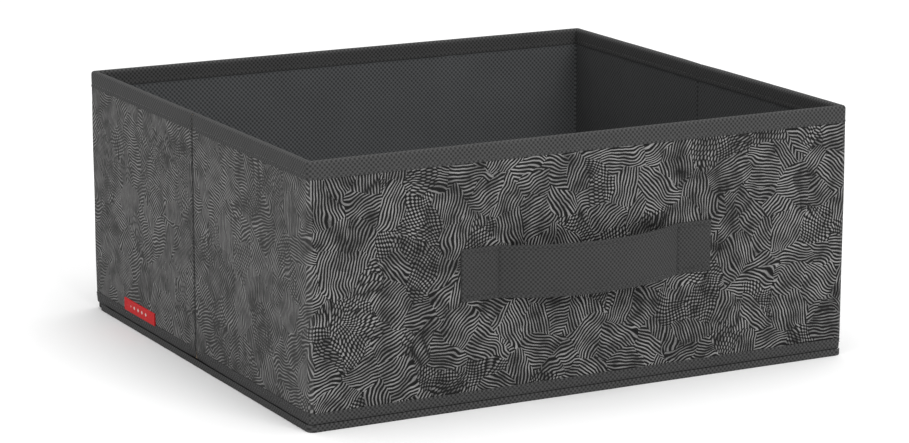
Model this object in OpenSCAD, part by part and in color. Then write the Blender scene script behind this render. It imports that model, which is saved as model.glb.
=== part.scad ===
// Fold-flat fabric storage bin: six stiffened wall panels, a zipped base flap and a front pull strap.
// Right is +X, the front with the strap faces -Y, and the bin stands on z = 0.

/* [Bin] */
// Overall width of the bin, along the front
bin_w = 300; // [290:1:400]
// Overall depth of the bin, from front to back, never more than the width
bin_d = 270; // [200:1:280]
// Overall height of the bin
bin_h = 130; // [100:1:200]

/* [Walls] */
// Thickness of the card board inside each wall
board_t = 2.2; // [1.5:0.1:4]
// Thickness of one layer of wall fabric
skin_t = 0.6; // [0.4:0.1:1]
// Height of the plain binding that is folded over the rim
rim_h = 8.5; // [6:0.5:20]
// Height above the ground of the top edge of the bottom binding
foot_h = 9; // [6:0.5:20]

/* [Base] */
// Thickness of the card board inside the base flap
base_board_t = 1.8; // [1:0.1:4]
// Thickness of one layer of base fabric
base_skin_t = 0.5; // [0.4:0.1:1]
// Distance that the base flap stays inside the outline of the walls
base_inset = 1.5; // [1.2:0.1:5]
// Thickness of the binding around the edge of the base flap
base_edge_t = 0.8; // [0.5:0.1:2]

/* [Zip] */
// How far the zip's coil stands out of the base's edge
coil_depth = 0.8; // [0.5:0.1:1.1]
// Height of the zip's coil
coil_h = 1.2; // [0.8:0.1:1.5]
// Length of the slider
slider_len = 10; // [6:0.5:15]
// Distance from the back of the bin to the closed slider
slider_from_back = 14; // [5:1:40]
// Length of the slider's pull tab
pull_len = 18; // [10:1:30]
// Height of the slider's pull tab
pull_h = 3.6; // [2:0.1:5]
// Thickness of the slider's pull tab
pull_t = 0.8; // [0.5:0.1:1.5]

/* [Strap] */
// Overall length of the strap, over both sewn ends
strap_len = 140; // [110:1:180]
// Width of the strap
strap_w = 26; // [15:1:40]
// Thickness of the folded strap
strap_t = 1.6; // [1:0.1:2.5]
// Length of each end that is sewn flat on the front
pad_len = 20; // [12:1:30]
// How far the crown of the strap stands out from the front
strap_reach = 15.5; // [12:0.5:30]
// Height of the strap's middle above the ground
strap_z = 67; // [40:1:90]
// Half of the length of the strap that tilts up and down in use
tilt_half = 30; // [20:1:34]

/* [Side tag] */
// Length of the plain woven tag
tag_len = 41; // [10:1:60]
// Height of the tag
tag_h = 6; // [3:0.5:15]
// Thickness of the tag
tag_t = 0.4; // [0.2:0.1:0.8]
// Distance from the back of the bin to the tag
tag_from_back = 42; // [10:1:60]

/* [Fits] */
// Clear space between two panels that fold against each other
fold_gap = 0.3; // [0.2:0.1:1]
// Clear space between the zip's slider and the coil and base that it slides on
slide_gap = 0.12; // [0.1:0.01:0.3]

/* [Stitching] */
// Thickness and width of the sewing thread
thread_t = 0.4; // [0.2:0.1:0.6]
// Distance from the edge of a sewn end to its stitch line
stitch_in = 2.5; // [1.5:0.1:5]

/* [Hidden] */

$fn = 96;
wall_t = board_t + 2 * skin_t;
base_t = base_board_t + 2 * base_skin_t;
wall_z = base_t + fold_gap;
// Distance from the middle of the bin to the front and back corner hinges
fold_half = bin_d / 2 - wall_t;
side_len = fold_half - 2 * fold_gap;
// The strap stands out in front, so the bin moves back until its outline is centred
centre_y = strap_reach / 2;
print_colour = [0.32, 0.32, 0.32];
lining_colour = [0.24, 0.25, 0.26];
trim_colour = [0.25, 0.25, 0.25];
board_colour = [0.62, 0.55, 0.44];

// A wall panel's own frame: x along the panel, y from its inner to its outer face, z up.
// The front and the back "wrap": their fabric turns in round both of their ends.
module slab(length, y0, y1, z0, z1, end_in = 0)
    translate([end_in, y0, z0])
        cube([length - 2 * end_in, y1 - y0, z1 - z0]);

// The space that the board takes inside the folded fabric, open through the ends if it doesn't wrap.
module core(length, wrap, z0, z1)
    slab(length, skin_t, skin_t + board_t, z0, z1, wrap ? skin_t : -1);

module wall_board(length, wrap)
    color(board_colour)
        slab(length, skin_t, skin_t + board_t, wall_z + skin_t, bin_h - skin_t, wrap ? skin_t : 0);

module wall_print(length, wrap)
    color(print_colour)
        if (wrap)
            difference() {
                slab(length, 0, wall_t, foot_h, bin_h - rim_h);
                slab(length, -1, skin_t + board_t, foot_h - 1, bin_h, skin_t);
            }
        else
            slab(length, skin_t + board_t, wall_t, foot_h, bin_h - rim_h);

module wall_lining(length, wrap)
    color(lining_colour)
        slab(length, 0, skin_t, foot_h, bin_h - rim_h, wrap ? skin_t : 0);

// Binding folded over the rim: both faces and the top edge.
module wall_rim(length, wrap)
    color(trim_colour)
        difference() {
            slab(length, 0, wall_t, bin_h - rim_h, bin_h);
            core(length, wrap, 0, bin_h - skin_t);
        }

// Binding folded under the wall: both faces and the bottom edge.
module wall_foot(length, wrap)
    color(trim_colour)
        difference() {
            slab(length, 0, wall_t, wall_z, foot_h);
            core(length, wrap, wall_z + skin_t, bin_h);
        }

module back_place()
    translate([-bin_w / 2, centre_y + fold_half, 0])
        children();

module front_place()
    translate([-bin_w / 2, centre_y - fold_half, 0])
        mirror([0, 1, 0])
            children();

// side is 1 on the right and -1 on the left; half is 1 at the rear and -1 at the front.
module side_place(side, half)
    translate([0, centre_y, 0])
        scale_mirror(side, half)
            translate([bin_w / 2 - wall_t, fold_gap, 0])
                mirror([1, -1, 0])
                    children();

module scale_mirror(side, half)
    mirror([side < 0 ? 1 : 0, 0, 0])
        mirror([0, half < 0 ? 1 : 0, 0])
            children();

// ---- Back wall ----
module back_board() back_place() wall_board(bin_w, true);
module back_print() back_place() wall_print(bin_w, true);
module back_lining() back_place() wall_lining(bin_w, true);
module back_rim_binding() back_place() wall_rim(bin_w, true);
module back_foot_binding() back_place() wall_foot(bin_w, true);

// ---- Front wall ----
module front_board() front_place() wall_board(bin_w, true);
module front_print() front_place() wall_print(bin_w, true);
module front_lining() front_place() wall_lining(bin_w, true);
module front_rim_binding() front_place() wall_rim(bin_w, true);
module front_foot_binding() front_place() wall_foot(bin_w, true);

// ---- Side walls, each creased down its middle into a rear and a front half ----
module left_rear_board() side_place(-1, 1) wall_board(side_len, false);
module left_rear_print() side_place(-1, 1) wall_print(side_len, false);
module left_rear_lining() side_place(-1, 1) wall_lining(side_len, false);
module left_rear_rim_binding() side_place(-1, 1) wall_rim(side_len, false);
module left_rear_foot_binding() side_place(-1, 1) wall_foot(side_len, false);

module left_front_board() side_place(-1, -1) wall_board(side_len, false);
module left_front_print() side_place(-1, -1) wall_print(side_len, false);
module left_front_lining() side_place(-1, -1) wall_lining(side_len, false);
module left_front_rim_binding() side_place(-1, -1) wall_rim(side_len, false);
module left_front_foot_binding() side_place(-1, -1) wall_foot(side_len, false);

module right_rear_board() side_place(1, 1) wall_board(side_len, false);
module right_rear_print() side_place(1, 1) wall_print(side_len, false);
module right_rear_lining() side_place(1, 1) wall_lining(side_len, false);
module right_rear_rim_binding() side_place(1, 1) wall_rim(side_len, false);
module right_rear_foot_binding() side_place(1, 1) wall_foot(side_len, false);

module right_front_board() side_place(1, -1) wall_board(side_len, false);
module right_front_print() side_place(1, -1) wall_print(side_len, false);
module right_front_lining() side_place(1, -1) wall_lining(side_len, false);
module right_front_rim_binding() side_place(1, -1) wall_rim(side_len, false);
module right_front_foot_binding() side_place(1, -1) wall_foot(side_len, false);

// ---- Base flap, sewn to the back wall and zipped on its other three sides ----
// A plate of the base flap, kept edge_in inside its outline all round.
module base_plate(edge_in, z0, z1) {
    half_w = bin_w / 2 - base_inset - edge_in;
    front_y = centre_y - bin_d / 2 + base_inset + edge_in;
    back_y = centre_y + bin_d / 2 - edge_in;
    translate([-half_w, front_y, z0])
        cube([2 * half_w, back_y - front_y, z1 - z0]);
}

module base_board()
    color(board_colour)
        base_plate(base_edge_t, base_skin_t, base_t - base_skin_t);

module base_cover()
    color(trim_colour)
        base_plate(base_edge_t, 0, base_skin_t);

module base_lining()
    color(lining_colour)
        base_plate(base_edge_t, base_t - base_skin_t, base_t);

module base_edge_binding()
    color(trim_colour)
        difference() {
            base_plate(0, 0, base_t);
            base_plate(base_edge_t, -1, base_t + 1);
        }

coil_z = (base_t - coil_h) / 2;
coil_out = bin_w / 2 - base_inset + coil_depth;

module zip_coil()
    color([0.12, 0.12, 0.12])
        difference() {
            translate([-coil_out, centre_y - bin_d / 2 + base_inset - coil_depth, coil_z])
                cube([2 * coil_out, bin_d - base_inset + coil_depth, coil_h]);
            translate([-coil_out + coil_depth, centre_y - bin_d / 2 + base_inset, coil_z - 1])
                cube([2 * (coil_out - coil_depth), bin_d, coil_h + 2]);
        }

slider_y = centre_y + bin_d / 2 - slider_from_back - slider_len;
slider_in = bin_w / 2 - base_inset + slide_gap;
slider_out = bin_w / 2 + skin_t / 2;
slider_low = 0.3;

// The slider straddles the coil.
module zip_slider()
    color([0.2, 0.2, 0.21])
        difference() {
            translate([slider_in, slider_y, slider_low])
                cube([slider_out - slider_in, slider_len, base_t - 2 * slider_low]);
            translate([slider_in - 1, slider_y - 1, coil_z - slide_gap])
                cube([coil_out + slide_gap - slider_in + 1, slider_len + 2, coil_h + 2 * slide_gap]);
        }

module zip_pull()
    color([0.2, 0.2, 0.21])
        translate([slider_out, slider_y + slider_len / 2 - pull_len, slider_low])
            cube([pull_t, pull_len, pull_h]);

// ---- Pull strap on the front ----
front_face_y = centre_y - bin_d / 2;
free_half = strap_len / 2 - pad_len;
bow_rise = strap_reach - strap_t;
bow_r = (free_half * free_half + bow_rise * bow_rise) / (2 * bow_rise);
bow_y = front_face_y - strap_t / 2 - bow_rise + bow_r;

// The bowed free length of the strap between two distances along the front.
module strap_bow(x0, x1)
    intersection() {
        translate([0, bow_y, strap_z - strap_w / 2])
            difference() {
                cylinder(r = bow_r + strap_t / 2, h = strap_w);
                translate([0, 0, -1])
                    cylinder(r = bow_r - strap_t / 2, h = strap_w + 2);
            }
        translate([x0, front_face_y - strap_reach - 1, strap_z - strap_w])
            cube([x1 - x0, strap_reach + 1, 2 * strap_w]);
    }

module strap_end_right()
    color(trim_colour) {
        strap_bow(tilt_half + fold_gap, free_half);
        translate([free_half, front_face_y - strap_t, strap_z - strap_w / 2])
            cube([pad_len, strap_t, strap_w]);
    }

module strap_end_left()
    mirror([1, 0, 0])
        strap_end_right();

module strap_middle()
    color(trim_colour)
        strap_bow(-tilt_half, tilt_half);

// One thread lying on the face of a sewn end, from corner to corner of the stitched box.
module stitch_run(length, turn)
    rotate([0, turn, 0])
        translate([-length / 2, -thread_t, -thread_t / 2])
            cube([length, thread_t, thread_t]);

// A box of stitches with a cross in it.
module stitch_box(box_w, box_h) {
    for (z = [-box_h / 2, box_h / 2])
        translate([0, 0, z])
            stitch_run(box_w + thread_t, 0);
    for (x = [-box_w / 2, box_w / 2])
        translate([x, 0, 0])
            stitch_run(box_h + thread_t, 90);
    for (turn = [-1, 1])
        stitch_run(norm([box_w, box_h]), turn * atan2(box_h, box_w));
}

module strap_stitching()
    color([0.16, 0.16, 0.16])
        for (side = [-1, 1])
            translate([side * (strap_len - pad_len) / 2, front_face_y - strap_t, strap_z])
                stitch_box(pad_len - 2 * stitch_in, strap_w - 2 * stitch_in);

// ---- Plain woven tag, caught in the seam above the left wall's bottom binding ----
module side_tag()
    color([0.68, 0.1, 0.12])
        translate([-bin_w / 2 - tag_t, centre_y + bin_d / 2 - tag_from_back - tag_len, foot_h])
            cube([tag_t, tag_len, tag_h]);

back_board();
back_print();
back_lining();
back_rim_binding();
back_foot_binding();
front_board();
front_print();
front_lining();
front_rim_binding();
front_foot_binding();
left_rear_board();
left_rear_print();
left_rear_lining();
left_rear_rim_binding();
left_rear_foot_binding();
left_front_board();
left_front_print();
left_front_lining();
left_front_rim_binding();
left_front_foot_binding();
right_rear_board();
right_rear_print();
right_rear_lining();
right_rear_rim_binding();
right_rear_foot_binding();
right_front_board();
right_front_print();
right_front_lining();
right_front_rim_binding();
right_front_foot_binding();
base_board();
base_cover();
base_lining();
base_edge_binding();
zip_coil();
zip_slider();
zip_pull();
strap_middle();
strap_end_left();
strap_end_right();
strap_stitching();
side_tag();
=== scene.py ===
# Fold-flat fabric storage bin: printed cloth walls over card boards, plain bindings, a zipped base and
# a pull strap.
import math

import bmesh
import bpy
from mathutils import Matrix, Vector, noise


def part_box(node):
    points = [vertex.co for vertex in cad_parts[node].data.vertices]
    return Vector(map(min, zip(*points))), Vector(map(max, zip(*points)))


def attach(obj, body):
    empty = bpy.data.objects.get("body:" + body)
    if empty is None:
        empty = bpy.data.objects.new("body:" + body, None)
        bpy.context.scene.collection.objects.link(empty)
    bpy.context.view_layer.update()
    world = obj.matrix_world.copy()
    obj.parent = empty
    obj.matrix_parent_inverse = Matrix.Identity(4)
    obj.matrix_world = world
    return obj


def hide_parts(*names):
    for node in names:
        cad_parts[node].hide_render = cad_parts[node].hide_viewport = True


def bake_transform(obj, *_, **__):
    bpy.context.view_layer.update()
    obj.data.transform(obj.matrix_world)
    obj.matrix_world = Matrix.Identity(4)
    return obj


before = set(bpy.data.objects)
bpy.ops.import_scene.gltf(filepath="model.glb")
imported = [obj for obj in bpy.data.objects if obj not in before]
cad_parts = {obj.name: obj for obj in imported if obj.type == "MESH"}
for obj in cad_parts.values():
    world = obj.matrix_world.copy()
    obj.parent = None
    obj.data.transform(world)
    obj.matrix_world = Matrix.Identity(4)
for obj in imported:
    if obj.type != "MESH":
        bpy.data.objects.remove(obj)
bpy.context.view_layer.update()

MM = 0.001


# ---- Shader maths ----
class Number:
    """A number socket, so that a shader's maths is written as an expression."""

    def __init__(self, shader, socket):
        self.shader, self.socket = shader, socket

    def maths(self, operation, *others, clamp=False):
        return self.shader.maths(operation, self, *others, clamp=clamp)

    def __add__(self, other):
        return self.maths("ADD", other)

    def __radd__(self, other):
        return self.maths("ADD", other)

    def __sub__(self, other):
        return self.maths("SUBTRACT", other)

    def __rsub__(self, other):
        return self.shader.maths("SUBTRACT", other, self)

    def __mul__(self, other):
        return self.maths("MULTIPLY", other)

    def __rmul__(self, other):
        return self.maths("MULTIPLY", other)

    def __abs__(self):
        return self.maths("ABSOLUTE")

    def sine(self):
        return self.maths("SINE")

    def cosine(self):
        return self.maths("COSINE")

    def clamped(self):
        """Kept between 0 and 1."""
        return self.maths("MULTIPLY", 1.0, clamp=True)

    def between(self, low, high):
        """0 below low, 1 above high, and smooth between them."""
        settings = {"interpolation_type": "SMOOTHSTEP"}
        values = {"Value": self, "From Min": low, "From Max": high}
        return Number(self.shader, self.shader.node("ShaderNodeMapRange", settings, values).outputs[0])


class Shader:
    """One material and its nodes."""

    def __init__(self, name):
        self.material = bpy.data.materials.new(name)
        self.material.use_nodes = True
        self.tree = self.material.node_tree
        self.tree.nodes.clear()

    def node(self, kind, settings=None, values=None):
        """Any node: its settings are set first, then its sockets' values or links."""
        made = self.tree.nodes.new(kind)
        for key, value in (settings or {}).items():
            setattr(made, key, value)
        for key, value in (values or {}).items():
            socket = made.inputs[key]
            if isinstance(value, Number):
                value = value.socket
            if isinstance(value, bpy.types.NodeSocket):
                self.tree.links.new(value, socket)
            else:
                socket.default_value = value
        return made

    def maths(self, operation, *values, clamp=False):
        settings = {"operation": operation, "use_clamp": clamp}
        return Number(self, self.node("ShaderNodeMath", settings, dict(enumerate(values))).outputs[0])

    def vector(self, operation, *values, scale=None):
        filled = dict(enumerate(values))
        if scale is not None:
            filled["Scale"] = scale
        return self.node("ShaderNodeVectorMath", {"operation": operation}, filled).outputs[0]

    def parts(self, socket):
        made = self.node("ShaderNodeSeparateXYZ", None, {0: socket})
        return [Number(self, output) for output in made.outputs]

    def mix(self, factor, first, second):
        """The first colour where the factor is 0, and the second where it is 1."""
        values = {0: factor, 6: first, 7: second}
        return self.node("ShaderNodeMix", {"data_type": "RGBA"}, values).outputs[2]

    def grain(self, place, scale, detail=2.0, flat=True, colour=False):
        """Soft noise, as a number about 0.5 or as a colour."""
        settings = {"noise_dimensions": "2D" if flat else "3D"}
        values = {"Vector": place, "Scale": scale, "Detail": detail}
        made = self.node("ShaderNodeTexNoise", settings, values)
        return made.outputs["Color"] if colour else Number(self, made.outputs["Fac"])

    def cut_place(self):
        """The place on the flat cloth, in millimetres."""
        uv = self.node("ShaderNodeUVMap", {"uv_map": "cut"}).outputs[0]
        return self.vector("SCALE", uv, scale=1 / MM)

    def object_place(self):
        """The place on the whole bin, in millimetres."""
        spot = self.node("ShaderNodeTexCoord").outputs["Object"]
        return self.vector("SCALE", spot, scale=1 / MM)

    def finish(self, colour, roughness, height=None, depth=0.2 * MM, strength=0.6, **surface):
        """The surface itself, with a relief of that depth. Its even values sit on its own sockets."""
        values = {"Base Color": colour, "Roughness": roughness}
        if height is not None:
            bump = {"Height": height, "Strength": strength, "Distance": depth}
            values["Normal"] = self.node("ShaderNodeBump", None, bump).outputs[0]
        values.update({key.replace("_", " "): value for key, value in surface.items()})
        shader = self.node("ShaderNodeBsdfPrincipled", None, values)
        self.node("ShaderNodeOutputMaterial", None, {"Surface": shader.outputs[0]})
        return self.material


def grey(value, warm=0.0):
    """A grey, a little redder where warm is above 0 and bluer where it is below."""
    return (value * (1 + warm), value, value * (1 - warm), 1)


def embossed(shader, place, pitch):
    """Rows of small oval pits set on the diagonal, as pressed into spun cloth: 1 in a pit."""
    across, up, _ = shader.parts(place)
    turn = 2 * math.pi / (pitch * math.sqrt(2))
    return ((across * turn).sine() * (up * turn).sine()).between(-0.35, 0.55)


def spun_cloth(name, tone, pitch, depth, warm=0.0):
    """Plain spun polypropylene with a pressed diagonal dot. The pitch is in millimetres, and the depth is
    how much darker a pit is."""
    shader = Shader(name)
    worn = 0.10
    place = shader.cut_place()
    pits = embossed(shader, place, pitch)
    fibre = shader.grain(shader.vector("MULTIPLY", place, (1.0, 1.7, 1.0)), 1.9, 4.0)
    cloud = shader.grain(place, 0.035, 2.0)
    light = 1 + depth / 2 + (fibre - 0.5) * 0.5 + (cloud - 0.5) * 2 * worn - pits * depth
    colour = shader.mix(light * 0.5, grey(0.0), grey(tone * 2, warm))
    height = fibre * 0.25 - pits
    return shader.finish(colour, 0.78 + pits * 0.1, height, 0.12 * MM, 0.7,
                         Sheen_Weight=0.03, Sheen_Roughness=0.5, Specular_IOR_Level=0.15)


def printed_cloth(name, dark, light, painted_sheen_veil=0.0, creases=()):
    """Near-black cloth printed with patches of fine wavy pale lines. The lines change direction from patch
    to patch, and painted shade darkens the print along each crease."""
    shader = Shader(name)
    place = shader.cut_place()
    round_bin = shader.parts(place)[0]
    drift = shader.vector("SUBTRACT", shader.grain(place, 0.055, 2.0, colour=True), (0.5, 0.5, 0.5))
    ragged = shader.vector("ADD", place, shader.vector("SCALE", drift, scale=14.0))
    bend = shader.grain(place, 0.06, 1.0) - 0.5
    wobble = shader.grain(place, 0.17, 1.0) - 0.5

    def family(shift, size, pitch):
        """Lines of one pitch in patches of one size, in millimetres, and a chance drawn for each patch."""
        moved = shader.vector("ADD", ragged, shift)
        values = {"Vector": moved, "Scale": 1 / size}
        cell = shader.node("ShaderNodeTexVoronoi", {"voronoi_dimensions": "2D"}, values)
        chance, choice, _ = shader.parts(cell.outputs["Color"])
        start = shader.vector("SUBTRACT", cell.outputs["Position"], shift)
        across, up, _ = shader.parts(shader.vector("SUBTRACT", place, start))
        angle = chance * (2 * math.pi) + bend
        along = across * angle.cosine() + up * angle.sine()
        ridge = (along * (2 * math.pi / pitch) + wobble * 4.2).sine()
        return ridge, choice

    first, vigour = family((0.0, 0.0, 0.0), 20.0, 1.75)
    second, choice = family((431.0, 217.0, 0.0), 16.0, 1.58)
    swap = choice.between(0.50, 0.52)
    crossed = choice.between(0.28, 0.30) * (1 - swap)
    single = first * (1 - swap) + second * swap
    both = (first + second) * 0.62
    ridge = single * (1 - crossed) + both * crossed
    ink = ridge.between(-0.2, 0.95)
    fibre = shader.grain(place, 2.2, 3.0)
    uneven = shader.grain(place, 0.13, 2.0)
    strength = 0.66 + (uneven - 0.5) * 1.4 + (fibre - 0.5) * 0.6 + (vigour - 0.5) * 0.4
    # Painted sheen: this veil lifts the dark ground and flattens the lines, standing in for the sheen that
    # washes out the print.
    ink = ink * strength.clamped() * (1 - painted_sheen_veil) + painted_sheen_veil * 0.32
    # Painted shade: the print is darkened along each crease, standing in for the shade in the fold.
    for crease in creases:
        ink = ink * (0.25 + abs(round_bin - crease / MM).between(0.3, 1.7) * 0.75)
    pits = embossed(shader, place, 1.5)
    colour = shader.mix(ink.clamped(), grey(dark, 0.01), grey(light, 0.01))
    height = ink * 0.35 + fibre * 0.25 - pits * 0.5
    return shader.finish(colour, 0.75 + pits * 0.12, height, 0.12 * MM, 0.5,
                         Sheen_Weight=0.02, Sheen_Roughness=0.5, Specular_IOR_Level=0.1)


def card():
    """Grey-brown recycled board with short fibres."""
    shader = Shader("board_card")
    place = shader.object_place()
    streak = shader.grain(shader.vector("MULTIPLY", place, (0.4, 1.0, 1.8)), 0.9, 4.0, flat=False)
    fleck = shader.grain(place, 3.0, 2.0, flat=False)
    tone = (streak * 0.7 + fleck * 0.3).between(0.3, 0.7)
    colour = shader.mix(tone, (0.20, 0.14, 0.085, 1), (0.36, 0.28, 0.19, 1))
    return shader.finish(colour, 0.9, streak, 0.2 * MM, 0.4, Specular_IOR_Level=0.2)


def woven_tag():
    """Red woven tape with a row of small pale lozenges."""
    shader = Shader("tag_weave")
    place = shader.cut_place()
    along, up, _ = shader.parts(place)
    rib_pitch, pick_pitch = 0.32, 0.55
    rib = (up * (2 * math.pi / rib_pitch)).sine() * 0.5 + 0.5
    pick = (along * (2 * math.pi / pick_pitch)).sine() * 0.5 + 0.5
    weave = rib * 0.6 + pick * 0.4
    fibre = shader.grain(place, 4.0, 2.0)
    half_spacing, half_row = 2.6, 12.0
    step = along.maths("PINGPONG", half_spacing)
    lozenge = 1 - (step * 0.9 + abs(up - TAG_MIDDLE)).between(0.95, 1.2)
    motif = lozenge * (1 - abs(along - TAG_CENTRE).between(half_row - 0.2, half_row))
    red = shader.mix(weave, (0.40, 0.006, 0.010, 1), (0.66, 0.020, 0.022, 1))
    pale = shader.mix(fibre, (0.50, 0.36, 0.34, 1), (0.72, 0.60, 0.57, 1))
    return shader.finish(shader.mix(motif, red, pale), 0.62, weave + motif * 0.6, 0.1 * MM, 0.6,
                         Sheen_Weight=0.02, Sheen_Roughness=0.4, Specular_IOR_Level=0.12)


def sewing_thread(name, tone):
    """Twisted polyester thread."""
    shader = Shader(name)
    place = shader.object_place()
    across, deep, up = shader.parts(place)
    twist = ((across + deep + up * 1.3) * (2 * math.pi / 0.5)).sine() * 0.5 + 0.5
    fluff = shader.grain(place, 5.0, 2.0, flat=False)
    colour = shader.mix(twist * 0.6 + fluff * 0.4, grey(tone * 0.55), grey(tone * 1.45))
    return shader.finish(colour, 0.6, twist, 0.08 * MM, 0.5, Sheen_Weight=0.15, Specular_IOR_Level=0.4)


def zip_plastic(name, tone):
    """Moulded nylon, slightly glossy and faintly uneven."""
    shader = Shader(name)
    place = shader.object_place()
    cloud = shader.grain(place, 0.6, 3.0, flat=False)
    colour = shader.mix(cloud, grey(tone * 0.7), grey(tone * 1.3))
    return shader.finish(colour, 0.32 + cloud * 0.2, cloud, 0.05 * MM, 0.3, Specular_IOR_Level=0.5)


def zip_enamel(name):
    """Dark enamelled metal, rubbed brighter in small spots."""
    shader = Shader(name)
    place = shader.object_place()
    cloud = shader.grain(place, 0.45, 4.0, flat=False)
    rub = cloud.between(0.56, 0.72)
    colour = shader.mix(rub, (0.030, 0.031, 0.034, 1), (0.16, 0.16, 0.165, 1))
    scratch = shader.grain(shader.vector("MULTIPLY", place, (1.0, 6.0, 1.0)), 1.5, 3.0, flat=False)
    return shader.finish(colour, 0.30 + scratch * 0.25, scratch, 0.03 * MM, 0.4,
                         Metallic=0.85, Coat_Weight=0.3, Coat_Roughness=0.25)


# ---- The walls' outline ----
outer_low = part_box("front_foot_binding")[0]
outer_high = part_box("back_rim_binding")[1]
LEFT, FRONT = outer_low.x, outer_low.y
RIGHT, BACK, TOP = outer_high
INNER_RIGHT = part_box("right_rear_lining")[0].x
WALL = RIGHT - INNER_RIGHT
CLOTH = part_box("left_rear_lining")[1].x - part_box("left_rear_lining")[0].x
BOARD_GAP = 0.3 * MM  # a board's edge stops this far from the crease
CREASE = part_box("left_rear_board")[0].y - BOARD_GAP
PRINT_LOW, PRINT_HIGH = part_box("front_print")[0].z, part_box("front_print")[1].z
WALL_LOW = outer_low.z
BASE_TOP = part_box("base_lining")[1].z
CORNER = 2.0 * MM  # outside radius of the cloth at a corner
BEND = 2.4 * MM  # half the width of the cloth that bends at the left crease
SEW_IN = 2.0 * MM  # how far from a binding's edge it is sewn


class Course:
    """A line round the outside of some upright walls, with round corners; walls lie to its left."""

    def __init__(self, points, radius):
        self.runs, self.length = [], 0.0
        points = [Vector(p) for p in points]
        for i in range(len(points) - 1):
            first, last = points[i], points[i + 1]
            along = (last - first).normalized()
            out = Vector((along.y, -along.x))
            begin = first + along * (radius if i else 0)
            end = last - along * (radius if i < len(points) - 2 else 0)
            self._add("line", (end - begin).length, begin, along, out)
            if i < len(points) - 2:
                after = (points[i + 2] - last).normalized()
                self._add("corner", radius * math.pi / 2, last, out, Vector((after.y, -after.x)), radius)

    def _add(self, kind, length, *facts):
        self.runs.append((kind, self.length, self.length + length, facts))
        self.length += length

    def corners(self):
        return [(run[1], run[2]) for run in self.runs if run[0] == "corner"]

    def place(self, s, depth):
        """The point at s along the line and at that depth inside it."""
        for kind, start, end, facts in self.runs:
            if s <= end + 1e-9:
                break
        if kind == "line":
            begin, along, out = facts
            return begin + along * (s - start) - out * depth
        point, out, after, radius = facts
        turn = (s - start) / (end - start) * math.pi / 2
        left = max(radius - depth, 0.15 * MM)
        radial = math.cos(turn) * out + math.sin(turn) * after
        return point - (depth + left) * (out + after) + left * radial


walls = Course([(RIGHT, CREASE), (RIGHT, BACK), (LEFT, BACK), (LEFT, FRONT), (RIGHT, FRONT),
                (RIGHT, CREASE)], CORNER)
back_right, back_left, front_left, front_right = walls.corners()
left_crease = back_left[1] + (BACK - CORNER - CREASE)
SLIT = 0.12 * MM  # half the gap between the cloth's ends at the open right crease
TAG_LOW, TAG_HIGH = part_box("side_tag")
tag_start = back_left[1] + (BACK - CORNER - TAG_HIGH.y)
tag_end = back_left[1] + (BACK - CORNER - TAG_LOW.y)
TAG_CENTRE = (tag_start + tag_end) / 2 / MM
TAG_MIDDLE = 3.4

# Where each panel's cloth starts and ends on the line round the walls.
PANELS = {
    "right_rear": (SLIT, back_right[1]),
    "back": (back_right[1], back_left[0]),
    "left_rear": (back_left[0], left_crease - BEND),
    "left_crease": (left_crease - BEND, left_crease + BEND),
    "left_front": (left_crease + BEND, front_left[1]),
    "front": (front_left[1], front_right[0]),
    "right_front": (front_right[0], walls.length - SLIT),
}
# Where the side walls' cloth bends beside the back; nothing bends the pieces there.
REAR_BEND = (BACK - 2.2 * MM, BACK - 6.2 * MM)


def hold(piece, panel):
    """The piece is attached to the back or front wall; a piece of any other panel stays fixed where it is.
    """
    if panel in ("back", "front"):
        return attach(piece, panel + "_wall")
    if panel == "left_crease":
        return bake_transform(piece)
    x = LEFT if panel.startswith("left") else RIGHT
    if panel.endswith("rear"):
        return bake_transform(piece, "back_wall", panel + "_panel",
                        start=(x, REAR_BEND[0], 0), end=(x, REAR_BEND[1], 0))
    if panel == "left_front":
        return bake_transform(piece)
    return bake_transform(piece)


def stops(start, end, coarse=2.5 * MM, fine=0.5 * MM, finest=0.12 * MM):
    """Places along the walls' outline, closer together at corners and creases."""
    close = [(a - 6 * MM, b + 6 * MM) for a, b in walls.corners()]
    close += [(left_crease - 3 * MM, left_crease + 3 * MM), (0, 3 * MM),
              (walls.length - 3 * MM, walls.length)]
    places = [start]
    while places[-1] < end - 1e-6:
        here = places[-1]
        step = fine if any(a - coarse < here < b for a, b in close) else coarse
        if min(abs(here + fine / 2 - left_crease), here, walls.length - here) < 1.1 * MM:
            step = finest
        places.append(end if here + step * 1.4 > end else here + step)
    return places


def crease_gap(s):
    """How far a place is from the nearer of the two middle creases."""
    return min(abs(s - left_crease), s, walls.length - s)


def corner_gap(s):
    """How far a place is from the nearest corner."""
    return min(max(a - s, s - b, 0) for a, b in walls.corners())


def fade(gap, reach):
    """1 at no gap, falling smoothly to nearly nothing at twice the reach."""
    return math.exp(-((gap / reach) ** 2))


def crease_dip(s):
    """How far the cloth sinks at the two middle creases: a shallow hollow with a sharp fold in it."""
    gap = crease_gap(s)
    return 0.35 * MM * fade(gap, 0.9 * MM) + 0.80 * MM * fade(gap, 0.28 * MM)


def slack(s, height, low, high, swell, ripple):
    """How far taut cloth stands out of its panel: a low swell, and small puckers beside its sewn edges."""
    share = min(max((height - low) / (high - low), 0), 1)
    rise = math.sin(math.pi * share) ** 0.6 if 0 < share < 1 else 0
    wave = noise.noise(Vector((s / 0.055, height / 0.045, 3.1)))
    edge = min(height - low, high - height)
    pucker = noise.noise(Vector((s / 0.0075, height / 0.03, 9.7))) * math.exp(-max(edge, 0) / (7 * MM))
    return -(swell * rise * (0.55 + 0.9 * wave) + ripple * pucker * min(1, max(edge, 0) / (1.5 * MM)))


def rounded(points, radius, steps=4):
    """The line again, with its corners turned into short curves."""
    points = [Vector(p) for p in points]
    line = [points[0]]
    for before, here, after in zip(points, points[1:], points[2:]):
        a = here + (before - here).normalized() * min(radius, (before - here).length / 2)
        b = here + (after - here).normalized() * min(radius, (after - here).length / 2)
        for i in range(steps + 1):
            t = i / steps
            line.append(a * (1 - t) ** 2 + here * 2 * t * (1 - t) + b * t * t)
    return line + [points[-1]]


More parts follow.
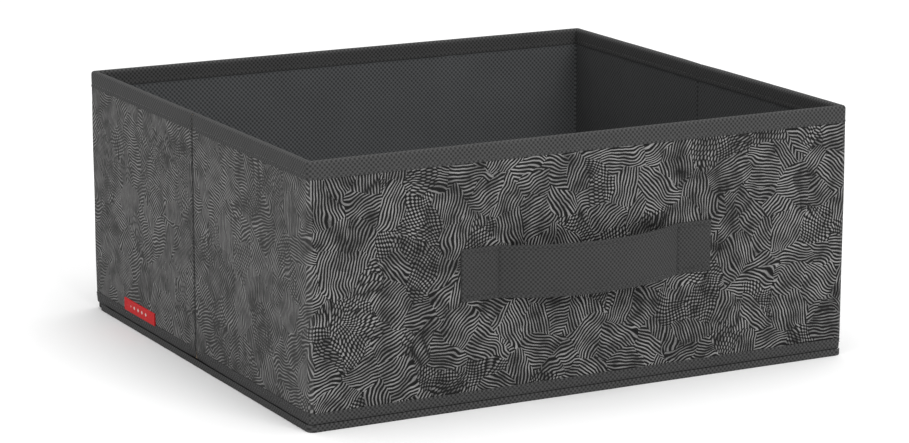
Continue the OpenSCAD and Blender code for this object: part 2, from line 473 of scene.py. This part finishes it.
def cloth_outline(line, thickness, step, hems=(0, 0)):
    """The closed outline of cloth that follows a line of (depth, height): a list of (depth, height, v).
    Each hem makes that end thicker, as where the cloth is turned in, with a valley where it is sewn."""
    even, length = [line[0]], 0.0
    for a, b in zip(line, line[1:]):
        parts = max(1, round((b - a).length / step))
        even += [a.lerp(b, (i + 1) / parts) for i in range(parts)]
    lengths = [0.0]
    for a, b in zip(even, even[1:]):
        lengths.append(lengths[-1] + (b - a).length)
    total = lengths[-1]
    sides = [], []
    for i, (point, v) in enumerate(zip(even, lengths)):
        along = (even[min(i + 1, len(even) - 1)] - even[max(i - 1, 0)]).normalized()
        across = Vector((along.y, -along.x))
        half = thickness / 2
        for gap, hem in ((v, hems[0]), (total - v, hems[1])):
            turned_in = math.exp(-((gap / (1.1 * MM)) ** 4))
            half += hem / 2 * (turned_in - 0.55 * fade(gap - SEW_IN, 0.5 * MM))
        if v in (0.0, total):
            half *= 0.55
        for side, sign in zip(sides, (1, -1)):
            side.append((*(point + across * half * sign), v))
    return sides[0] + sides[1][::-1], total


def new_piece(name, bm, material, angle=40):
    """Makes the finished mesh an object: its faces all turned one way, with soft shading apart from its
    sharp edges."""
    bmesh.ops.recalc_face_normals(bm, faces=bm.faces)
    for edge in bm.edges:
        edge.smooth = len(edge.link_faces) == 2 and edge.calc_face_angle(0) < math.radians(angle)
    for face in bm.faces:
        face.smooth = True
    mesh = bpy.data.meshes.new(name)
    bm.to_mesh(mesh)
    bm.free()
    piece = bpy.data.objects.new(name, mesh)
    bpy.context.scene.collection.objects.link(piece)
    piece.data.materials.append(material)
    return piece


def lay_cut(bm, flat):
    """Writes down where each face's corners lie on the flat cloth."""
    cut = bm.loops.layers.uv.new("cut")
    for face in bm.faces:
        for loop in face.loops:
            loop[cut].uv = flat(loop.vert.co)


def subdivide_upright(bm, cuts, **how):
    """Adds level rings to a post, so that it can waver."""
    upright = [e for e in bm.edges if abs(e.verts[0].co.z - e.verts[1].co.z) > 10 * MM]
    bmesh.ops.subdivide_edges(bm, edges=upright, cuts=cuts, **how)


def sweep(name, place, lengths, outline, material, move=None, angle=40):
    """Extrudes a closed outline of (depth, height, v) from stop to stop, with u along the way.
    move(s, depth, height) gives how much deeper a point sits."""
    bm = bmesh.new()
    cut = bm.loops.layers.uv.new("cut")
    index = bm.verts.layers.int.new("index")
    along = bm.verts.layers.float.new("along")
    ring = [bm.verts.new() for _ in outline]
    for i, vert in enumerate(ring):
        vert[index] = i
    edges = [bm.edges.new((ring[i - 1], ring[i])) for i in range(len(ring))]
    first = edges
    for number, s in enumerate(lengths):
        if number:
            made = bmesh.ops.extrude_edge_only(bm, edges=edges)["geom"]
            ring = [g for g in made if isinstance(g, bmesh.types.BMVert)]
            edges = [g for g in made if isinstance(g, bmesh.types.BMEdge)
                     and g.verts[0] in ring and g.verts[1] in ring]
        for vert in ring:
            depth, height, _ = outline[vert[index]]
            if move:
                depth += move(s, depth, height)
            vert.co = (*place(s, depth), height)
            vert[along] = s
    for end in (first, edges):
        bmesh.ops.contextual_create(bm, geom=end)
    for face in bm.faces:
        for loop in face.loops:
            loop[cut].uv = (loop.vert[along], outline[loop.vert[index]][2])
    return new_piece(name, bm, material, angle)


NARROWEST = 10 * MM  # the shortest side that is counted for a sheet


def write_cut(piece, length, width):
    """Works out the size that the cloth was cut to, with no side below NARROWEST and the area too for a
    narrower cut; the result is not kept."""
    flat = (max(length, NARROWEST), max(width, NARROWEST))
    area = None if flat == (length, width) else length * width
    return piece


def cloth_piece(name, panel, line, thickness, material, nodes, step=2.5 * MM, hems=(0, 0),
                move=None):
    """A sewn cloth strip or sheet of one wall panel; the size of the sheet that it was cut from is worked
    out.
    """
    start, end = PANELS[panel]
    places = stops(start, end)
    outline, width = cloth_outline(line, thickness, step, hems)
    piece = sweep(name, walls.place, places, outline, material, move)
    hold(piece, panel)
    if nodes:
        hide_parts(*nodes)
    length = end - start
    if panel == "left_crease":
        # The cloth is tucked in here, so it is longer than the wall that it covers.
        dips = [move(s, *line[0]) for s in places]
        length = sum(math.hypot(b - a, d - c) for a, b, c, d in zip(places, places[1:], dips, dips[1:]))
    write_cut(piece, length, width)
    return piece


# ---- Finishes ----
front_print = printed_cloth("print_front", 0.009, 0.285)
# Painted sheen: the side walls' print has a lighter ground and a pale veil, standing in for the sheen that
# washes it out there.
side_print_painted_sheen = printed_cloth("print_side_painted_sheen", 0.022, 0.28, painted_sheen_veil=0.15, creases=(left_crease, 0, walls.length))
trim = spun_cloth("trim_spun", 0.045, pitch=1.7, depth=0.85)
lining = spun_cloth("lining_spun", 0.072, pitch=1.8, warm=-0.03, depth=0.8)
# Painted shade: the side walls' lining is a darker copy of the lining, standing in for the shade inside the
# side walls.
shaded_side_lining = spun_cloth("lining_spun_side_painted_shade", 0.056, pitch=1.8, warm=-0.02, depth=0.7)
strap_cloth = spun_cloth("strap_spun", 0.038, pitch=1.6, depth=0.7)
board = card()
tag_cloth = woven_tag()
dark_thread = sewing_thread("thread_dark", 0.016)
trim_thread = sewing_thread("thread_trim", 0.040)
coil_plastic = zip_plastic("zip_coil_nylon", 0.018)
slider_metal = zip_enamel("zip_slider_enamel")

for node_name, node_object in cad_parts.items():
    if node_name.endswith("board"):
        node_object.data.materials.clear()
        node_object.data.materials.append(board)

# ---- Wall cloth: the print outside, the lining inside, and a binding round the rim and the foot ----
# Each line is (depth from the outside, height).
UNDER = 1.5 * MM  # how far the print and the lining go under each binding
CLOTH_LOW, CLOTH_HIGH = PRINT_LOW - UNDER, PRINT_HIGH + UNDER
PRINT_LINE = [Vector((CLOTH / 2, CLOTH_LOW)), Vector((CLOTH / 2, CLOTH_HIGH))]
LINING_LINE = [Vector((WALL - CLOTH / 2, CLOTH_LOW)), Vector((WALL - CLOTH / 2, CLOTH_HIGH))]
PROUD = 0.22 * MM  # how far a binding stands out of the wall
RIM_TOP = TOP - 0.15 * MM
RIM_LINE = rounded([(-PROUD, PRINT_HIGH), (-PROUD, RIM_TOP), (WALL + PROUD, RIM_TOP),
                    (WALL + PROUD, PRINT_HIGH)], 1.5 * MM)
FOOT_HIGH = PRINT_LOW
FOOT_LOW = WALL_LOW + 0.25 * MM
FOOT_LINE = rounded([(-PROUD, FOOT_HIGH), (0.12 * MM, FOOT_LOW), (WALL + PROUD, FOOT_LOW),
                     (WALL + PROUD, FOOT_HIGH)], 0.9 * MM)
BACK_FOOT_LINE = rounded([(0.05 * MM, FOOT_HIGH), (0.22 * MM, FOOT_LOW), (WALL + PROUD, FOOT_LOW),
                          (WALL + PROUD, FOOT_HIGH)], 0.9 * MM)


def print_move(s, depth, height):
    """The print swells outwards away from the creases, sinks at them, and stands out at the corners."""
    corner = max(fade(s - (a + b) / 2, 2.2 * MM) for a, b in walls.corners())
    swell = slack(s, height, PRINT_LOW, PRINT_HIGH, 0.45 * MM, 0.5 * MM)
    return swell * (1 - fade(crease_gap(s), 22 * MM)) + crease_dip(s) - 0.32 * MM * corner


def lining_move(s, depth, height):
    """The lining swells inwards away from the corners, and sinks between the boards at the creases."""
    swell = slack(s + 0.31, height, PRINT_LOW, PRINT_HIGH, 0.30 * MM, 0.35 * MM)
    swell *= 1 - fade(corner_gap(s), 16 * MM)
    return -swell - 0.4 * MM * fade(crease_gap(s), 1.2 * MM)


def tape_move(s, depth, height):
    """Small waves along a binding, which lies flatter where two panels fold together."""
    wave = noise.noise(Vector((s / 0.012, height / 0.02, 5.3))) * 0.14 * MM
    if depth < WALL / 2:
        return wave + crease_dip(s) * 0.7 + 0.6 * MM * fade(crease_gap(s), 13 * MM)
    return -wave - 0.3 * MM * fade(corner_gap(s), 12 * MM)


for panel in PANELS:
    creased = panel == "left_crease"
    backing = ["left_rear_board", "left_front_board"] if creased else [panel + "_board"]

    def stands_for(part):
        return [] if creased else [f"{panel}_{part}"]

    cloth = front_print if panel in ("front", "back") else side_print_painted_sheen
    cloth_piece(f"{panel}_printed_cloth", panel, PRINT_LINE, CLOTH, cloth, stands_for("print"),
                move=print_move)
    inner_cloth = lining if panel in ("front", "back") else shaded_side_lining
    cloth_piece(f"{panel}_inner_lining", panel, LINING_LINE, CLOTH, inner_cloth, stands_for("lining"),
                move=lining_move)
    cloth_piece(f"{panel}_rim_tape", panel, RIM_LINE, 0.5 * MM, trim, stands_for("rim_binding"),
                step=0.8 * MM, hems=(0.45 * MM, 0.2 * MM), move=tape_move)
    foot_line = BACK_FOOT_LINE if panel == "back" else FOOT_LINE
    cloth_piece(f"{panel}_foot_tape", panel, foot_line, 0.4 * MM, trim, stands_for("foot_binding"),
                step=0.8 * MM, hems=(0.3 * MM, 0.2 * MM), move=tape_move)


# ---- Stitches ----
def stitch_piece(name, stitches, material, width=0.42 * MM):
    """One mesh of short stitches, each (middle, direction, outward, length)."""
    bm = bmesh.new()
    for middle, direction, outward, length in stitches:
        side = direction.cross(outward)
        turn = Matrix((direction, side, outward)).transposed().to_4x4()
        size = Matrix.Diagonal((length / 2, width / 2, width * 0.42, 1))
        laid = Matrix.Translation(middle) @ turn @ size
        bmesh.ops.create_icosphere(bm, subdivisions=1, radius=1, matrix=laid)
    piece = new_piece(name, bm, material, 180)
    return piece


def row_along(start, end, depth, height, pitch=3.3 * MM, length=2.5 * MM):
    """Stitches in a level row round the walls; a depth past the wall's middle faces inwards."""
    made, s = [], start + pitch / 2
    sign = 1 if depth < WALL / 2 else -1
    while s < end - pitch / 3:
        sunk = depth + tape_move(s, depth, height)
        here, ahead = walls.place(s, sunk), walls.place(s + 0.2 * MM, sunk)
        along = (ahead - here).normalized()
        outward = Vector((along.y, -along.x, 0)) * sign
        made.append((Vector((*here, height)), Vector((*along, 0)), outward, length))
        s += pitch
    return made


OUTER_FACE, INNER_FACE = -PROUD - 0.10 * MM, WALL + PROUD + 0.16 * MM
for panel in ("back", "left_rear", "left_front", "front", "right_front", "right_rear"):
    start, end = PANELS[panel]
    outside, inside = (start + 0.8 * MM, end - 0.8 * MM), (start + 4 * MM, end - 4 * MM)
    rows = row_along(*outside, OUTER_FACE, PRINT_HIGH + SEW_IN)
    if panel != "back":
        rows += row_along(*outside, OUTER_FACE, FOOT_HIGH - SEW_IN)
    rows += row_along(*inside, INNER_FACE, PRINT_HIGH + SEW_IN)
    hold(stitch_piece(f"{panel}_binding_stitches", rows, trim_thread), panel)


def crease_row(name, s, width, pitch=3.4 * MM, length=2.6 * MM):
    """A piece of upright stitches down the outside of a side wall."""
    outward = Vector((-1 if s == left_crease else 1, 0, 0))
    rows, height = [], PRINT_LOW + 1 * MM + pitch / 2
    while height < PRINT_HIGH - 1 * MM:
        middle = Vector((*walls.place(s, 0.30 * MM), height))
        rows.append((middle, Vector((0, 0, 1)), outward, length))
        height += pitch
    return stitch_piece(name, rows, dark_thread, width)


hold(crease_row("left_crease_stitches", left_crease, 0.9 * MM), "left_crease")
for panel, s in (("right_rear", 0.75 * MM), ("right_front", walls.length - 0.75 * MM)):
    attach(crease_row(f"{panel}_crease_stitches", s, 0.5 * MM), panel + "_panel")

# ---- Cloth ends of the two panels that meet at the open right crease ----
# The rear one reaches across the crease, so that no light shows through it.
for panel, near, far in (("right_rear", -0.11 * MM, 0.28 * MM), ("right_front", -0.28 * MM, -0.13 * MM)):
    bm = bmesh.new()
    size = Matrix.Diagonal((WALL - 0.8 * MM, far - near, TOP - WALL_LOW - 0.8 * MM, 1))
    middle = Vector((RIGHT - WALL / 2, CREASE + (near + far) / 2, (TOP + WALL_LOW) / 2))
    bmesh.ops.create_cube(bm, size=1, matrix=Matrix.Translation(middle) @ size)
    subdivide_upright(bm, 20, use_grid_fill=True)
    lay_cut(bm, lambda spot: (spot.x, spot.z))
    for vert in bm.verts:
        vert.co.x += 0.05 * MM * noise.noise(vert.co / 0.006)
    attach(new_piece(f"{panel}_end_cloth", bm, trim), panel + "_panel")

# ---- Sewn seams up the four inside corners ----
SEAM_RADIUS, SEAM_PITCH = 0.55 * MM, 3.2 * MM
for wall, y in (("back", BACK - WALL), ("front", FRONT + WALL)):
    for side, x in (("left", LEFT + WALL), ("right", RIGHT - WALL)):
        bm = bmesh.new()
        bmesh.ops.create_cone(bm, cap_ends=True, segments=8, radius1=SEAM_RADIUS, radius2=SEAM_RADIUS,
                              depth=PRINT_HIGH - WALL_LOW - 1 * MM)
        subdivide_upright(bm, 40)
        lay_cut(bm, lambda spot: (spot.x + spot.y, spot.z))
        for vert in bm.verts:
            swell = 1 + 0.16 * math.sin(vert.co.z / SEAM_PITCH * 2 * math.pi)
            vert.co.x, vert.co.y = vert.co.x * swell + x, vert.co.y * swell + y
            vert.co.z += (PRINT_HIGH + WALL_LOW) / 2
        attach(new_piece(f"{wall}_{side}_corner_seam", bm, lining), wall + "_wall")

# ---- Base flap ----
base_low, base_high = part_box("base_edge_binding")
BASE_IN = 1.0 * MM  # how far the base's cloth stops short of the base's edge


def base_sheet(name, z, thickness, swell, material, node):
    """A level sheet of cloth on the base board, slightly slack."""
    bm = bmesh.new()
    low = Vector((base_low.x + BASE_IN, base_low.y + BASE_IN))
    high = Vector((base_high.x - BASE_IN, base_high.y - BASE_IN))
    bmesh.ops.create_grid(bm, x_segments=60, y_segments=54, size=0.5)
    for vert in bm.verts:
        share_x, share_y = vert.co.x + 0.5, vert.co.y + 0.5
        x, y = low.x + (high.x - low.x) * share_x, low.y + (high.y - low.y) * share_y
        edge = not (0 < share_x < 1 and 0 < share_y < 1)
        rise = 0 if edge else (math.sin(math.pi * share_x) * math.sin(math.pi * share_y)) ** 0.5
        wave = 0.5 + 0.7 * noise.noise(Vector((x / 0.06, y / 0.07, z / MM)))
        vert.co = (x, y, z + swell * rise * wave)
    lay_cut(bm, lambda spot: (spot.x, spot.y))
    bmesh.ops.solidify(bm, geom=bm.faces[:], thickness=thickness)
    piece = new_piece(name, bm, material)
    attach(piece, "base_flap")
    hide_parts(node)
    return piece


base_sheet("base_inner_lining", BASE_TOP - 0.4 * MM, 0.4 * MM, 0.35 * MM, lining, "base_lining")
base_sheet("base_outer_cover", 0.5 * MM, 0.4 * MM, 0.04 * MM, trim, "base_cover")

base_edge = Course([(base_high.x, base_high.y), (base_low.x, base_high.y), (base_low.x, base_low.y),
                    (base_high.x, base_low.y), (base_high.x, base_high.y)], 1.2 * MM)
edge_start = base_edge.corners()[0][1]
edge_lengths = [edge_start]
while edge_lengths[-1] < base_edge.length - 0.5 * MM:
    here = edge_lengths[-1]
    tight = any(a - 3 * MM < here < b + 1 * MM for a, b in base_edge.corners())
    edge_lengths.append(min(here + (0.4 if tight else 3.0) * MM, base_edge.length - 0.4 * MM))
EDGE_IN, EDGE_OUT = 6 * MM, 0.22 * MM
EDGE_TOP, EDGE_LOW = BASE_TOP - 0.02 * MM, 0.22 * MM
EDGE_LINE = rounded([(EDGE_IN, EDGE_TOP), (EDGE_OUT, EDGE_TOP), (EDGE_OUT, EDGE_LOW), (EDGE_IN, EDGE_LOW)],
                    0.8 * MM)
outline, width = cloth_outline(EDGE_LINE, 0.4 * MM, 0.8 * MM, (0.15 * MM, 0.0))
edge_tape = sweep("base_edge_tape", base_edge.place, edge_lengths, outline, trim)
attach(edge_tape, "base_flap")
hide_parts("base_edge_binding")
write_cut(edge_tape, edge_lengths[-1] - edge_start, width)

# A lip that stands up from the base's edge and hides the zip along the left and the front.
LIP_OUT = RIGHT - base_high.x + 0.62 * MM
LIP_LINE = rounded([(3.0 * MM, 0.10 * MM), (-LIP_OUT, 0.14 * MM), (-LIP_OUT, WALL_LOW + 0.5 * MM)],
                   0.5 * MM)
outline, width = cloth_outline(LIP_LINE, 0.3 * MM, 0.5 * MM)
lip_start, lip_end = edge_start + 5.0 * MM, base_edge.corners()[2][1] - 0.6 * MM
lip_lengths = [s for s in edge_lengths if lip_start < s < lip_end]


def lip_move(s, depth, height):
    """The part of the lip that stands outside the base waves a little."""
    return noise.noise(Vector((s / 0.014, 0.4, 8.8))) * 0.12 * MM if depth < 0 else 0


lip = sweep("base_zip_lip", base_edge.place, lip_lengths, outline, trim, lip_move)
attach(lip, "base_flap")
write_cut(lip, lip_lengths[-1] - lip_lengths[0], width)

# The cloth hinge along the back, from the back wall's foot round to the underside of the base.
HINGE_LINE = rounded([(-0.1 * MM, WALL_LOW + 1.0 * MM), (-0.1 * MM, 0.12 * MM), (5.5 * MM, 0.12 * MM)],
                     0.8 * MM)
outline, width = cloth_outline(HINGE_LINE, 0.24 * MM, 0.4 * MM)
back_run = Course([(base_high.x, BACK), (base_low.x, BACK)], 0)
hinge_lengths = [i * back_run.length / 90 for i in range(91)]
hinge = sweep("base_hinge_tape", back_run.place, hinge_lengths, outline, trim)
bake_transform(hinge)
write_cut(hinge, back_run.length, width)

# ---- Zip: a coil of small nylon loops, the slider and its pull ----
coil_low, coil_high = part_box("zip_coil")
bm = bmesh.new()
loop_pitch, coil_depth = 1.6 * MM, -0.35 * MM
s = edge_start + 4 * MM
while s < base_edge.length - 4 * MM:
    here, ahead = base_edge.place(s, coil_depth), base_edge.place(s + 0.1 * MM, coil_depth)
    along = Vector((*(ahead - here).normalized(), 0))
    outward = Vector((along.y, -along.x, 0))
    turn = Matrix((along, outward, Vector((0, 0, 1)))).transposed().to_4x4()
    size = Matrix.Diagonal((0.52 * MM, 0.42 * MM, (coil_high.z - coil_low.z) / 2, 1))
    middle = Vector((*here, (coil_low.z + coil_high.z) / 2))
    laid = Matrix.Translation(middle) @ turn @ size
    bmesh.ops.create_icosphere(bm, subdivisions=1, radius=1, matrix=laid)
    s += loop_pitch
coil = new_piece("zip_coil_loops", bm, coil_plastic, 180)
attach(coil, "base_flap")
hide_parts("zip_coil")


def block(bm, low, high, bevel, segments=3):
    """A block with rounded edges between two corners, added to the mesh."""
    low, high = Vector(low), Vector(high)
    size, middle = high - low, (high + low) / 2
    laid = Matrix.Translation(middle) @ Matrix.Diagonal((*size, 1))
    made = bmesh.ops.create_cube(bm, size=1, matrix=laid)
    edges = {e for v in made["verts"] for e in v.link_edges}
    bmesh.ops.bevel(bm, geom=list(edges), offset=bevel, segments=segments, profile=0.5, affect="EDGES",
                    material=-1)


low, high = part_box("zip_slider")
bm = bmesh.new()
wing, neck, round_over = 0.36 * MM, 0.42 * MM, 0.15 * MM
block(bm, low, (high.x, high.y, low.z + wing), round_over)
block(bm, (low.x, low.y, high.z - wing), high, round_over)
block(bm, (high.x - neck, low.y + 0.6 * MM, low.z), (high.x, high.y - 0.6 * MM, high.z), round_over)
bridge_y, half_bridge = (low.y + high.y) / 2, 2.2 * MM
block(bm, (high.x - 0.1 * MM, bridge_y - half_bridge, 1.0 * MM),
      (high.x + 0.22 * MM, bridge_y + half_bridge, 1.8 * MM), 0.1 * MM)
slider = new_piece("zip_slider_body", bm, slider_metal)
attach(slider, "zip_slider")
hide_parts("zip_slider")

low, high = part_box("zip_pull")
bm = bmesh.new()
block(bm, low, high, 0.32 * MM, 4)
middle_z = (low.z + high.z) / 2
waist = (low.y + 5 * MM, low.y + 12 * MM)
for y in waist:
    geometry = bm.verts[:] + bm.edges[:] + bm.faces[:]
    bmesh.ops.bisect_plane(bm, geom=geometry, plane_co=(0, y, 0), plane_no=(0, 1, 0))
for vert in bm.verts:
    if waist[0] - 0.1 * MM < vert.co.y < waist[1] + 0.1 * MM:
        vert.co.z = middle_z + (vert.co.z - middle_z) * 0.72
for z in (low.z + 0.9 * MM, high.z - 0.9 * MM):
    block(bm, (high.x - 0.05 * MM, low.y + 1.5 * MM, z - 0.15 * MM),
          (high.x + 0.1 * MM, low.y + 4.5 * MM, z + 0.15 * MM), 0.05 * MM, 2)
pull = new_piece("zip_pull_tab", bm, slider_metal)
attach(pull, "zip_slider")
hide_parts("zip_pull")

# ---- Pull strap ----
strap_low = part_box("strap_middle")[0]
end_low, end_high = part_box("strap_end_right")
PAD_IN = end_high.x - 20 * MM  # from the strap's middle to the start of a sewn end
STRAP_T = 1.6 * MM  # two layers of cloth
rise = FRONT - strap_low.y - STRAP_T
BOW_R = (PAD_IN**2 + rise**2) / (2 * rise)
BOW_Y = FRONT - STRAP_T / 2 - rise + BOW_R
bow_turn = math.asin(PAD_IN / BOW_R)
PAD = end_high.x - PAD_IN
BOW_LENGTH = 2 * bow_turn * BOW_R
STRAP_LENGTH = BOW_LENGTH + 2 * PAD


def strap_place(s, depth):
    """A point on the strap: flat on the front at each end and bowed between them."""
    if s < PAD or s > PAD + BOW_LENGTH:
        x = s - end_high.x if s < PAD else PAD_IN + s - PAD - BOW_LENGTH
        return Vector((x, FRONT - STRAP_T / 2 + depth))
    turn = (s - PAD) / BOW_R - bow_turn
    out = Vector((math.sin(turn), -math.cos(turn)))
    return Vector((0, BOW_Y)) + out * (BOW_R - depth)


def strap_outline(low, high):
    """Two layers of cloth folded at both edges and sewn just inside them."""
    middle, half = (low + high) / 2, (high - low) / 2
    upper = [0.25, 0.5, 0.7, 0.78, 0.82, 0.86, 0.9, 0.95, 0.985, 1]
    levels = [-level for level in reversed(upper)] + [0] + upper
    thick = []
    for level in levels:
        edge = 1 - abs(level)
        body = STRAP_T / 2 * (1 - math.exp(-edge / 0.012) * 0.75)
        body -= 0.30 * MM * fade(edge - 0.18, 0.045)
        thick.append(body)
    front = [(-t, middle + half * level, half * level) for level, t in zip(levels, thick)]
    rear = [(t, middle + half * level, half * level) for level, t in zip(levels, thick)]
    return front + rear[::-1]


def strap_move(s, depth, height):
    """The strap is pinched where it is sewn, and waves a little, most of all in its free middle."""
    ends = min(s, STRAP_LENGTH - s)
    sewn = min(abs(s - PAD), abs(s - PAD - BOW_LENGTH))
    pinch = 0.45 * fade(sewn, 1.0 * MM) + 0.6 * fade(ends, 0.35 * MM)
    if ends < PAD:
        pinch += 0.10
    ripple = noise.noise(Vector((s / 0.016, height / 0.012, 1.7))) * 0.12 * MM
    wave = noise.noise(Vector((s / 0.035, height / 0.03, 7.7))) * (0.5 * MM if ends > PAD + 8 * MM else 0)
    return (-depth * pinch if depth < 0 else 0) + ripple + wave


strap_lengths = [0.0]
while strap_lengths[-1] < STRAP_LENGTH - 1e-6:
    here = strap_lengths[-1]
    tight = min(abs(here - PAD), abs(here - PAD - BOW_LENGTH), here, STRAP_LENGTH - here) < 2.5 * MM
    step = (0.4 if tight else 1.5) * MM
    strap_lengths.append(STRAP_LENGTH if here + step * 1.3 > STRAP_LENGTH else here + step)
outline = strap_outline(end_low.z, end_high.z)
strap = sweep("pull_strap", strap_place, strap_lengths, outline, strap_cloth, strap_move, 60)
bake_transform(strap)
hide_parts("strap_middle", "strap_end_left", "strap_end_right")


def strap_row(start, end, height, end_height=None, pitch=3.0 * MM, length=2.3 * MM):
    """Stitches on the strap's face from one place to another."""
    end_height = height if end_height is None else end_height
    total = math.hypot(end - start, end_height - height)
    count = max(1, round(total / pitch))
    made = []
    for i in range(count):
        t = (i + 0.5) / count
        s, z = start + (end - start) * t, height + (end_height - height) * t
        depth = -STRAP_T / 2 + 0.14 * MM + strap_move(s, -STRAP_T / 2, z)
        here, ahead = strap_place(s, depth), strap_place(s + 0.1 * MM, depth)
        flat = Vector((*(ahead - here).normalized(), 0))
        outward = Vector((flat.y, -flat.x, 0))
        direction = (flat * (end - start) + Vector((0, 0, 1)) * (end_height - height)).normalized()
        made.append((Vector((*here, z)), direction, outward, length))
    return made


STRAP_SEW = 2.4 * MM  # how far from the strap's edges it is sewn
SEW_LOW, SEW_HIGH = end_low.z + STRAP_SEW, end_high.z - STRAP_SEW
edge_rows = strap_row(PAD, PAD + BOW_LENGTH, SEW_LOW) + strap_row(PAD, PAD + BOW_LENGTH, SEW_HIGH)
edge_stitches = stitch_piece("strap_edge_stitches", edge_rows, trim_thread)
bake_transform(edge_stitches)
box_rows = []
for start, end in ((STRAP_SEW, PAD - 0.6 * MM), (PAD + BOW_LENGTH + 0.6 * MM, STRAP_LENGTH - STRAP_SEW)):
    box_rows += strap_row(start, end, SEW_LOW) + strap_row(start, end, SEW_HIGH)
    box_rows += strap_row(start, start, SEW_LOW, SEW_HIGH) + strap_row(end, end, SEW_LOW, SEW_HIGH)
    box_rows += strap_row(start, end, SEW_LOW, SEW_HIGH) + strap_row(start, end, SEW_HIGH, SEW_LOW)
box_stitches = stitch_piece("strap_box_stitches", box_rows, dark_thread, 0.6 * MM)
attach(box_stitches, "front_wall")
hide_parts("strap_stitching")

# ---- Side tag ----
TAG_FOOT = TAG_LOW.z - 0.5 * MM
TAG_LINE = rounded([(-0.05 * MM, TAG_FOOT), (-0.05 * MM, TAG_HIGH.z), (-0.5 * MM, TAG_HIGH.z),
                    (-0.5 * MM, TAG_FOOT)], 0.22 * MM)
outline, width = cloth_outline(TAG_LINE, 0.34 * MM, 0.5 * MM)
outline = [(d, z, (z - TAG_LOW.z) + 0.5 * MM) for d, z, _ in outline]
tag_lengths = [tag_start + (tag_end - tag_start) * i / 60 for i in range(61)]


def tag_move(s, depth, height):
    """The tag waves a little, most of all at its folded top."""
    wave = 0.12 * MM * noise.noise(Vector((s / 0.012, height / 0.006, 2.2)))
    return wave * (height - TAG_LOW.z) / (TAG_HIGH.z - TAG_LOW.z)


tag = sweep("side_tag_loop", walls.place, tag_lengths, outline, tag_cloth, tag_move)
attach(tag, "left_rear_panel")
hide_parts("side_tag")
write_cut(tag, tag_end - tag_start, width)

# ---- Floor, light and camera ----
bm = bmesh.new()
bmesh.ops.create_grid(bm, x_segments=1, y_segments=1, size=6)
floor_shader = Shader("pale_floor")
floor_cloud = floor_shader.grain(floor_shader.object_place(), 0.004, 2.0)
floor_colour = floor_shader.mix(floor_cloud, grey(0.95), grey(0.98))
floor = new_piece("floor", bm, floor_shader.finish(floor_colour, 0.9, Specular_IOR_Level=0.1))
if floor.data.polygons[0].normal.z < 0:
    floor.data.flip_normals()


def soft_light(name, place, aim, size, power):
    """A square lamp that points at a place."""
    lamp = bpy.data.lights.new(name, "AREA")
    lamp.shape, lamp.size, lamp.energy = "SQUARE", size, power
    made = bpy.data.objects.new(name, lamp)
    bpy.context.scene.collection.objects.link(made)
    made.location = place
    made.rotation_euler = (Vector(aim) - Vector(place)).to_track_quat("-Z", "Y").to_euler()


soft_light("top_light", (0.1, 0.3, 2.6), (0, 0, 0), 3.6, 62)
soft_light("front_light", (0.3, -2.2, 1.6), (0, 0, 0.08), 1.4, 32)
soft_light("left_light", (-2.4, -0.5, 0.45), (0, 0, 0.06), 1.2, 4.5)

world = bpy.data.worlds.new("studio")
bpy.context.scene.world = world
world.use_nodes = True
world.node_tree.nodes["Background"].inputs["Color"].default_value = (1, 1, 1, 1)
world.node_tree.nodes["Background"].inputs["Strength"].default_value = 0.52
bpy.context.scene.view_settings.view_transform = "Standard"

camera_data = bpy.data.cameras.new("camera")
camera = bpy.data.objects.new("camera", camera_data)
bpy.context.scene.collection.objects.link(camera)
camera.location = (-0.766, -1.43825, 0.433)
aim = Vector((-0.006, 0.0, 0.061))
camera.rotation_euler = (aim - camera.location).to_track_quat("-Z", "Y").to_euler()
camera_data.lens, camera_data.sensor_width = 127, 36
bpy.context.scene.camera = camera
